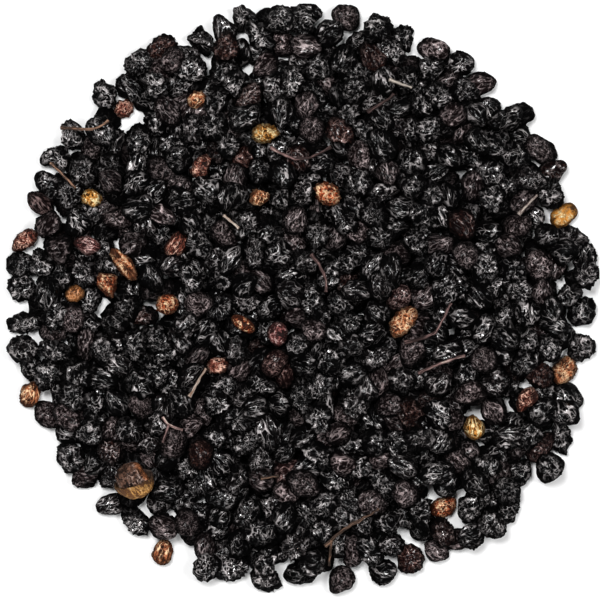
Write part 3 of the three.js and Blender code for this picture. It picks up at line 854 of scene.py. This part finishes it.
def coloured_skin(name, deep, crest_colour, blush_colour):
    """Netted skin of one colour, with a bright blush where it has one, painted shade in its creases and on its sides,
    and crests partly painted highlight.
    """
    shader = Shader(name)
    place = shader.attribute("grain", "Vector")
    smoothness, blush, light = shader.tone()
    net, _ = wrinkles(shader, place)
    fine = shader.noise(place, 2.6, 2.0, 0.65)
    relief = (net * 1.1 + (fine - 0.5) * 1.8 - 0.15) * (1 - smoothness)
    raised = shader.attribute("crest") * 0.65 + relief + (shader.noise(place, 0.35, 1.0) - 0.5) * 1.6
    # Near-black creases are painted shade; the pale crest colour is partly a painted highlight.
    colour = shader.mix(shader.step(raised, 0.0, 0.5), shade(deep, 0.05), deep)
    colour = shader.mix(shader.step(raised, 0.5, 1.0), colour, crest_colour)
    bright = shader.mix(shader.step(raised, 0.0, 0.9), shade(blush_colour, 0.12), blush_colour)
    # Painted shade: where the tone's light is low, the skin turns near-black.
    colour = shader.mix(light, shade(deep, 0.08), shader.mix(blush, colour, bright))
    gloss = {"Coat_Weight": (net * light).kept() * 0.4, "Coat_Roughness": 0.3}
    return shader.finish(colour, 0.8, shader.bump(net * 0.9 + fine * 0.8, 0.24), Specular_IOR_Level=0.12, **gloss)


def fibrous(name, deep, lit, other_deep=None, other_lit=None):
    """Dry stalk or husk: grain along it, with lighter worn strands, a second tone where it has one, and painted shade
    where the tone's light is low.
    """
    shader = Shader(name)
    place = shader.attribute("grain", "Vector")
    other, _, light = shader.tone()
    strands = shader.noise(place, 2.2, 3.0, 0.6)
    spots = shader.noise(place, 0.6, 2.0)
    if other_deep:
        deep, lit = shader.mix(other, deep, other_deep), shader.mix(other, lit, other_lit)
    colour = shader.mix(shader.step(strands + (spots - 0.5) * 0.8, 0.42, 0.66), deep, lit)
    pale_share = shader.step(spots, 0.56, 0.7) * shader.step(strands, 0.5, 0.62)
    colour = shader.mix(pale_share * 0.5, colour, WORN_STRANDS)
    # Painted shade: where the tone's light is low, the fibre turns to the shaded fibre tone.
    colour = shader.mix(light, SHADED_FIBRE, colour)
    return shader.finish(colour, 0.62 + 0.2 * strands, shader.bump(strands, 0.1, 0.8), Specular_IOR_Level=0.25)


def floor_material(settings):
    shader = Shader("pale_floor")
    shader.fill(shader.surface, {"Base Color": settings.floor, "Roughness": 0.9})
    return shader.material


# ---- What a user would change ----


def colour_property(name, description, default):
    return bpy.props.FloatVectorProperty(
        name=name, description=description, default=(*default, 1.0), size=4, subtype="COLOR", min=0, max=1
    )


class BerrySettings(bpy.types.PropertyGroup):
    """Tones and gloss of the black berries."""

    black_deep: colour_property("Black", "Black skin in its creases", (0.0006, 0.0005, 0.0006))
    # The crest colours are partly wear and partly painted highlight on the ridges.
    black_crest: colour_property("Black crests", "Black skin along its raised net", (0.60, 0.55, 0.548))
    dust_deep: colour_property("Dusty", "Dusty mauve skin in its creases", (0.006, 0.003, 0.003))
    dust_crest: colour_property("Dusty crests", "Dusty mauve skin along its raised net", (0.62, 0.48, 0.48))
    rust_deep: colour_property("Ruddy", "Ruddy dark skin in its creases", (0.008, 0.002, 0.002))
    rust_crest: colour_property("Ruddy crests", "Ruddy dark skin along its raised net", (0.30, 0.12, 0.09))
    gloss: bpy.props.FloatProperty(
        name="Gloss", description="Strength of the skin's highlights", default=1.0, min=0, max=1, subtype="FACTOR"
    )
    dusty_share: bpy.props.FloatProperty(
        name="Dusty share", description="Share of dusty berries", default=0.2, min=0, max=1, subtype="FACTOR"
    )


class ColourSettings(bpy.types.PropertyGroup):
    """Colours of the coloured berries, the husk and the stalks."""

    # The crest colours are partly a painted highlight where they colour a berry's raised net.
    amber: colour_property("Amber", "Amber berries", (0.62, 0.25, 0.04))
    amber_crest: colour_property("Amber crests", "Raised net of amber berries", (1.0, 0.82, 0.44))
    orange: colour_property("Orange", "Orange berries", (0.46, 0.10, 0.035))
    orange_crest: colour_property("Orange crests", "Raised net of orange berries", (1.0, 0.68, 0.40))
    tan: colour_property("Tan", "Tan berries", (0.44, 0.14, 0.055))
    tan_crest: colour_property("Tan crests", "Raised net of tan berries", (0.95, 0.63, 0.37))
    rust: colour_property("Rust", "Rust-red berries", (0.19, 0.05, 0.032))
    rust_crest: colour_property("Rust crests", "Raised net of rust-red berries", (0.85, 0.50, 0.38))
    mauve: colour_property("Mauve", "Mauve berries", (0.21, 0.066, 0.061))
    mauve_crest: colour_property("Mauve crests", "Raised net of mauve berries", (0.82, 0.54, 0.50))
    taupe: colour_property("Husk berry", "Berry in the husk", (0.15, 0.075, 0.05))
    taupe_crest: colour_property("Husk berry crests", "Raised net of the berry in the husk", (0.55, 0.40, 0.33))
    blush: colour_property("Blush", "Bright patch on the husk's berry and one other", (0.75, 0.26, 0.10))
    husk: colour_property("Husk", "Papery husk", (0.12, 0.045, 0.012))
    husk_lit: colour_property("Husk strands", "Light strands of the husk", (0.60, 0.31, 0.09))
    stalk: colour_property("Stalk", "Broken stalks", (0.016, 0.007, 0.006))
    stalk_lit: colour_property("Stalk strands", "Light strands of the stalks", (0.27, 0.16, 0.15))
    cream: colour_property("Cream stalk", "Light strands of the palest stalks", (0.88, 0.76, 0.66))
    stalk_tan: colour_property("Tan stalk", "Light strands of the tan stalks", (0.40, 0.22, 0.14))


class StageSettings(bpy.types.PropertyGroup):
    """Floor, light and camera."""

    floor: colour_property("Floor", "Pale floor under the cluster", (0.93, 0.93, 0.93))
    floor_size: bpy.props.FloatProperty(
        name="Floor size", description="Width of the floor", default=6.0, min=0.5, unit="LENGTH"
    )
    view_width: bpy.props.FloatProperty(
        name="View width", description="Width that the camera takes in", default=0.0953, min=0.01, unit="LENGTH"
    )
    lens: bpy.props.FloatProperty(
        name="Lens", description="Focal length of the camera", default=250, min=20, subtype="DISTANCE_CAMERA"
    )
    softbox: bpy.props.FloatProperty(
        name="Softbox", description="Strength of the large soft light", default=5.2, min=0, unit="POWER"
    )
    fill: bpy.props.FloatProperty(
        name="Fill", description="Strength of the even light from all round", default=0.12, min=0
    )


# ---- Operators ----

# The black berries: pieces of those that show, the shares of a berry that count as showing, well showing
# and showing from below, how often each kind of skin comes, and the half thickness that has full relief.
BLACK_PIECES = 5
SHOWN_LEAST = 0.1
SHOWN_WELL = 0.5
SHOWN_BELOW = 0.05
KINDS = {"netted": 36, "pleated": 24, "grainy": 5, "collapsed": 13, "crowned": 11, "pointed": 11}
DUSTY_KINDS = ("grainy", "grainy", "pleated", "pointed")
RUDDY_SHARE = 0.05
FULL_RELIEF = 1.6
FULL_RELIEF_COLOURED = 2.3
COLOURED_DENSITY = 1.3
SEEDS = {"black": 7, "coloured": 11, "husk": 3}


def black_skins(settings):
    """Each black berry with its skin and its tone, the same each time."""
    rng = random.Random(SEEDS["black"])
    found = []
    for berry in PILE.berries:
        if berry.kept:
            continue
        dusty = rng.random() < settings.dusty_share
        kind = rng.choice(DUSTY_KINDS) if dusty else rng.choices(tuple(KINDS), tuple(KINDS.values()))[0]
        blush = rng.uniform(0.4, 0.85) if rng.random() < RUDDY_SHARE else 0.0
        # Painted shade: a berry buried under others is painted darker the deeper it lies; its light also differs at
        # random.
        covered = PILE.top(*berry.place[:2]) - berry.place[2] - berry.drop
        unburied_painted_light = max(0.12, min(1.0, 1.1 - 0.45 * covered))
        dust = rng.uniform(0.65, 1.0) if dusty else max(0.0, rng.uniform(-0.25, 0.1))
        tone = Vector((dust, blush, rng.uniform(0.45, 1) * unburied_painted_light))
        found.append((berry, Skin(kind, rng, min(1.0, berry.half[2] / FULL_RELIEF)), tone))
    return found


class ELDERBERRY_OT_black_berries(bpy.types.Operator):
    """Make the black berries, finely where they show"""

    bl_idname = "elderberry.black_berries"
    bl_label = "Black Berries"

    def execute(self, context):
        settings = context.scene.elderberry_berries
        material = black_skin(settings)
        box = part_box("berries")[0], CAD_BOX[1]
        shown, hidden = [], []
        for entry in black_skins(settings):
            share = PILE.shown_share(entry[0], 1)
            if share >= SHOWN_LEAST:
                shown.append((*entry, FINE if share >= SHOWN_WELL else FAIR))
            else:
                hidden.append((*entry, PLAIN if PILE.shown_share(entry[0], -1) > SHOWN_BELOW else HIDDEN))
        shown.sort(key=lambda entry: math.atan2(entry[0].place[1], entry[0].place[0]))
        size = math.ceil(len(shown) / BLACK_PIECES)
        groups = {f"black_berries_{k + 1}": shown[k * size : (k + 1) * size] for k in range(BLACK_PIECES)}
        groups["black_berries_below"] = hidden
        for name, group in groups.items():
            made = BerryMesh(box)
            for berry, skin, tone, detail in group:
                made.add(berry, berry.half, skin, tone, detail, LEAST_PAINTED_LIGHT["black"])
            new_piece(name, made.finish(name), material, "black", "berries")
        return {"FINISHED"}


class ELDERBERRY_OT_coloured_berries(bpy.types.Operator):
    """Make each amber, orange, tan, rust and mauve berry"""

    bl_idname = "elderberry.coloured_berries"
    bl_label = "Coloured Berries"

    def execute(self, context):
        settings = context.scene.elderberry_colours
        materials = {
            colour: coloured_skin(
                f"{colour}_skin", getattr(settings, colour), getattr(settings, f"{colour}_crest"), settings.blush
            )
            for colour in ("amber", "orange", "tan", "rust", "mauve")
        }
        rng = random.Random(SEEDS["coloured"])
        counts = {}
        for colour, kind, berry in PILE.coloured:
            counts[colour] = counts.get(colour, 0) + 1
            name = f"berry_{colour}_{counts[colour]}"
            made = BerryMesh(CAD_BOX)
            tone = Vector((0.65 * (kind == "smooth"), 0.8 * (kind == "blushed"), 1))
            skin = Skin(kind, rng, berry.half[2] / FULL_RELIEF_COLOURED, COLOURED_DENSITY)
            made.add(berry, berry.half, skin, tone, FINE, LEAST_PAINTED_LIGHT["coloured"])
            new_piece(f"{name}_skin", made.finish(name), materials[colour], colour, name)
        return {"FINISHED"}


def husk_berry_mesh(husk):
    """The husk's berry, with a bright blush on one side."""
    skin = Skin("grainy", random.Random(SEEDS["husk"]), 1.0)
    made = BerryMesh(CAD_BOX)
    made.add(husk, [h + HUSK_SWELL for h in HUSK_HALF], skin, Vector((0.4, 0, 1)), FINE, LEAST_PAINTED_LIGHT["husk"])
    for vert in made.bm.verts:
        out = HUSK_BLUSH.dot(vert.co / MM - Vector(husk.place))
        vert[made.tone] += Vector((0, smooth_step(*BLUSH_EDGE, out), 0))
    return made.finish("husk_berry")


def cup_with_wall(facing):
    """A round cup, cut open on one side, its two layers, and the vertices of the face inside its wall."""
    bm = bmesh.new()
    bmesh.ops.create_icosphere(bm, subdivisions=5, radius=1)
    layers = [bm.verts.layers.float_vector.new(name) for name in ("grain", "tone")]
    geometry = bm.verts[:] + bm.edges[:] + bm.faces[:]
    cut = SHELL_CUT * facing
    bmesh.ops.bisect_plane(bm, geom=geometry, dist=1e-3, plane_co=cut, plane_no=facing, clear_inner=True)
    bmesh.ops.remove_doubles(bm, verts=bm.verts[:], dist=0.012)
    copied = bmesh.ops.duplicate(bm, geom=bm.faces[:])["geom"]
    inner = [item for item in copied if isinstance(item, bmesh.types.BMFace)]
    inside = {vert for face in inner for vert in face.verts}
    bmesh.ops.reverse_faces(bm, faces=inner)
    bmesh.ops.bridge_loops(bm, edges=[edge for edge in bm.edges if edge.is_boundary])
    return bm, layers, inside


def husk_shell_mesh(husk):
    """The papery shell: a crinkled cup that frays at its edge, golden on one side."""
    long, wide, thin = (Vector(axis) for axis in husk.axes)
    facing = Vector([HUSK_CUP.dot(axis) * h for axis, h in zip((long, wide, thin), husk.half)]).normalized()
    bm, (grain, tone), inside = cup_with_wall(facing)
    centre = Vector(husk.place)
    for vert in bm.verts:
        way = vert.co.normalized()
        rise = max(0.0, 0.3 - way.dot(facing)) / 0.4
        crinkle = 1 + 0.06 * noise.noise(way * 2.4) + 0.045 * ridge(way, 2.6, Vector((4, 2, 9))) - 0.03
        crinkle += 0.07 * rise * noise.noise(way * 4.5 + Vector((3, 1, 8)))
        shrink = SHELL_INSIDE if vert in inside else SHELL_OUTSIDE
        point = Vector([w * h for w, h in zip(way, husk.half)]) * crinkle * shrink
        vert[grain] = Vector((point.x * 0.4, point.y * 1.8, point.z * 1.8)) + Vector((7, 3, 5))
        world = centre + long * point.x + wide * point.y + thin * point.z
        world -= HUSK_CUP * rise * (0.3 + 0.5 * noise.noise(way * 3.2))
        golden = HUSK_GOLD.dot(world - centre) / husk.half[0]
        # Painted shade: away from its golden side the shell darkens to the shaded fibre tone.
        vert[tone] = (smooth_step(0.35, -0.35, golden), 0, 0.12 + 0.88 * smooth_step(0.1, 0.8, golden))
        vert.co = world * MM
    bmesh.ops.recalc_face_normals(bm, faces=bm.faces[:])
    return smooth_mesh(bm, "husk_shell")


class ELDERBERRY_OT_husk(bpy.types.Operator):
    """Make the husk's berry and its papery shell"""

    bl_idname = "elderberry.husk"
    bl_label = "Husk"

    def execute(self, context):
        settings = context.scene.elderberry_colours
        skin = coloured_skin("husk_berry_skin", settings.taupe, settings.taupe_crest, settings.blush)
        new_piece("husk_berry_skin", husk_berry_mesh(PILE.husk), skin, "mauve", "husk_berry")
        paper = fibrous("papery_husk", settings.husk, settings.husk_lit, settings.taupe, settings.taupe_crest)
        new_piece("husk_paper", husk_shell_mesh(PILE.husk), paper, "husk", "husk_shell")
        return {"FINISHED"}


def smooth_route(route):
    """Points on an even curve along a route."""
    for _ in range(2):
        inner = [(a + 2 * b + c) / 4 for a, b, c in zip(route, route[1:], route[2:])]
        route = [route[0], *inner, route[-1]]
    ends = [2 * route[0] - route[1], *route, 2 * route[-1] - route[-2]]
    found = []
    for a, b, c, d in zip(ends, ends[1:], ends[2:], ends[3:]):
        for part in range(STALK_PARTS):
            t = part / STALK_PARTS
            bend, twist = 2 * a - 5 * b + 4 * c - d, 3 * b - a - 3 * c + d
            found.append(0.5 * (2 * b + (c - a) * t + bend * t ** 2 + twist * t ** 3))
    return found + [ends[-2]]


def ring_edges(ring):
    """The edges that join a ring's vertices in turn."""
    pairs = zip(ring, ring[1:] + ring[:1])
    return [next(edge for edge in vert.link_edges if edge.other_vert(vert) is after) for vert, after in pairs]


def next_ring(bm, ring):
    """Extrudes a ring, and gives the new one's vertices in the same order."""
    extruded = bmesh.ops.extrude_edge_only(bm, edges=ring_edges(ring))["geom"]
    fresh = {vert for vert in extruded if isinstance(vert, bmesh.types.BMVert)}
    around = [[edge.other_vert(vert) for edge in vert.link_edges] for vert in ring]
    return [next(vert for vert in verts if vert in fresh) for verts in around]


def sweep(bm, route, radius, seed):
    """A ridged stem along a route, with blunt broken ends."""
    grain, tone = (bm.verts.layers.float_vector.get(name) for name in ("grain", "tone"))
    offset = Vector((seed * 7.3, seed * 3.1, seed * 5.7))
    ring = bmesh.ops.create_circle(bm, segments=STALK_SIDES, radius=radius)["verts"]
    across = (route[1] - route[0]).orthogonal().normalized()
    made = []
    for k, centre in enumerate(route):
        ahead = (route[min(k + 1, len(route) - 1)] - route[max(k - 1, 0)]).normalized()
        across = (across - ahead * across.dot(ahead)).normalized()
        up = ahead.cross(across)
        ring = next_ring(bm, ring) if k else ring
        made.append(ring)
        share = k / (len(route) - 1)
        knob = bell(share, 0.05) + 0.6 * bell(1 - share, 0.04)
        swell = 0.72 - 0.2 * share + 0.28 * noise.noise(centre * 1.1 + offset) + 0.45 * knob
        sway = across * noise.noise(centre * 0.9 + offset) + up * noise.noise(centre * 0.9 - offset)
        for j, vert in enumerate(ring):
            angle = 2 * math.pi * j / STALK_SIDES
            away = across * math.cos(angle) + up * math.sin(angle)
            rib = 1 + 0.16 * math.cos(4 * angle + seed) + 0.3 * noise.noise(Vector((angle * 1.3, share * 14, seed)))
            vert.co = centre + sway * 0.12 + away * radius * max(0.32, min(1.0, swell * rib))
            vert[grain] = Vector((angle * 1.1, share * len(route) * 0.05, seed * 9))
            # Painted shade: the stem darkens on its sides and underside, lightest along its top.
            vert[tone] = Vector((0, 0, painted_light(away.z, LEAST_PAINTED_LIGHT["stalk"])))
    for ring in (made[0], made[-1]):
        face = bmesh.ops.contextual_create(bm, geom=ring)["faces"]
        bmesh.ops.poke(bm, faces=face)


def stalk_mesh(name, line, branch, seed):
    """A stalk laid over the pile, with its branch where it has one, kept inside its solid's box."""
    bm = bmesh.new()
    for layer in ("grain", "tone"):
        bm.verts.layers.float_vector.new(layer)
    main = PILE.lay_stalk(line)
    sweep(bm, smooth_route(main), STALK_RADIUS, seed)
    if branch:
        start = min(main, key=lambda point: flat_length(point.x - branch[0][0], point.y - branch[0][1]))
        sweep(bm, smooth_route(PILE.lay_stalk(branch, start.z)), STALK_RADIUS * BRANCH_SHARE, seed + 0.5)
    bmesh.ops.recalc_face_normals(bm, faces=bm.faces[:])
    low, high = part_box(name)
    for vert in bm.verts:
        vert.co = held(vert.co * MM, low, high)
    return smooth_mesh(bm, name)


class ELDERBERRY_OT_stalks(bpy.types.Operator):
    """Make the broken stalks"""

    bl_idname = "elderberry.stalks"
    bl_label = "Stalks"

    def execute(self, context):
        settings = context.scene.elderberry_colours
        tints = {
            "dark": (settings.stalk, shade(settings.stalk_lit, 0.45)),
            "mauve": (settings.stalk, settings.stalk_lit),
            "brown": (shade(settings.stalk_tan, 0.08), settings.stalk_tan),
            "ruddy": (shade(settings.stalk_tan, 0.04), shade(settings.stalk_tan, 0.45)),
            "pale": (shade(settings.stalk_lit, 0.3), shade(settings.cream, 0.6)),
            "tan": (shade(settings.stalk_tan, 0.5), shade(settings.cream, 0.6)),
            "cream": (shade(settings.cream, 0.45), settings.cream),
        }
        barks = {tint: fibrous(f"{tint}_stalk", *colours) for tint, colours in tints.items()}
        for k, (tint, line, branch) in enumerate(STALKS):
            name = f"stalk_{k + 1}"
            new_piece(f"{name}_bark", stalk_mesh(name, line, branch, k), barks[tint], "stalk", name)
        return {"FINISHED"}


# Soft lights: the way each comes from, its height in the sky, and its share of the power.
LIGHTS = {"key": (125, 74, 1.0), "side": (5, 64, 0.5), "front": (250, 56, 0.25)}
LIGHT_DISTANCE = 0.8
LIGHT_SIZE = 0.26
CAMERA_AIM = (-0.0004, -0.0003, 0.005)
SENSOR_WIDTH = 36


class ELDERBERRY_OT_stage(bpy.types.Operator):
    """Lay the pale floor, and set the soft lights and the camera"""

    bl_idname = "elderberry.stage"
    bl_label = "Stage"

    def execute(self, context):
        scene = context.scene
        settings = scene.elderberry_stage
        bm = bmesh.new()
        bmesh.ops.create_grid(bm, x_segments=1, y_segments=1, size=settings.floor_size / 2)
        floor = bpy.data.objects.new("floor", smooth_mesh(bm, "floor"))
        scene.collection.objects.link(floor)
        floor.data.materials.append(floor_material(settings))

        scene.world = bpy.data.worlds.new("studio")
        scene.world.use_nodes = True
        background = scene.world.node_tree.nodes["Background"]
        background.inputs["Color"].default_value = (1, 1, 1, 1)
        background.inputs["Strength"].default_value = settings.fill
        for name, (turn, rise, share) in LIGHTS.items():
            light = bpy.data.lights.new(name, "AREA")
            light.shape = "DISK"
            light.size = LIGHT_SIZE
            light.energy = settings.softbox * share
            turn, rise = math.radians(turn), math.radians(rise)
            away = Vector((math.cos(turn) * math.cos(rise), math.sin(turn) * math.cos(rise), math.sin(rise)))
            lamp = bpy.data.objects.new(name, light)
            lamp.location = away * LIGHT_DISTANCE
            lamp.rotation_euler = (-lamp.location).to_track_quat("-Z", "Y").to_euler()
            scene.collection.objects.link(lamp)

        camera = bpy.data.cameras.new("camera")
        camera.lens = settings.lens
        camera.sensor_width = SENSOR_WIDTH
        camera.clip_start = 0.01
        scene.camera = bpy.data.objects.new("camera", camera)
        distance = settings.view_width * settings.lens / SENSOR_WIDTH
        scene.camera.location = (*CAMERA_AIM[:2], CAMERA_AIM[2] + distance)
        scene.collection.objects.link(scene.camera)
        scene.view_settings.view_transform = "Standard"
        return {"FINISHED"}


class ELDERBERRY_PT_cluster(bpy.types.Panel):
    """The cluster's pieces and settings"""

    bl_idname = "ELDERBERRY_PT_cluster"
    bl_label = "Elderberry Cluster"
    bl_space_type = "VIEW_3D"
    bl_region_type = "UI"
    bl_category = "Elderberry"

    def draw(self, context):
        for operator in OPERATORS:
            self.layout.operator(operator.bl_idname)
        for name, group in SETTINGS.items():
            box = self.layout.box()
            for prop in group.__annotations__:
                box.prop(getattr(context.scene, name), prop)


OPERATORS = (
    ELDERBERRY_OT_black_berries,
    ELDERBERRY_OT_coloured_berries,
    ELDERBERRY_OT_husk,
    ELDERBERRY_OT_stalks,
    ELDERBERRY_OT_stage,
)
SETTINGS = {
    "elderberry_berries": BerrySettings,
    "elderberry_colours": ColourSettings,
    "elderberry_stage": StageSettings,
}
CLASSES = (*SETTINGS.values(), *OPERATORS, ELDERBERRY_PT_cluster)


def register():
    for cls in CLASSES:
        bpy.utils.register_class(cls)
    for name, group in SETTINGS.items():
        setattr(bpy.types.Scene, name, bpy.props.PointerProperty(type=group))


def unregister():
    for name in SETTINGS:
        delattr(bpy.types.Scene, name)
    for cls in reversed(CLASSES):
        bpy.utils.unregister_class(cls)


def main():
    register()
    bpy.ops.elderberry.black_berries()
    bpy.ops.elderberry.coloured_berries()
    bpy.ops.elderberry.husk()
    bpy.ops.elderberry.stalks()
    bpy.ops.elderberry.stage()
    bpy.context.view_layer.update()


if __name__ == "__main__":
    main()
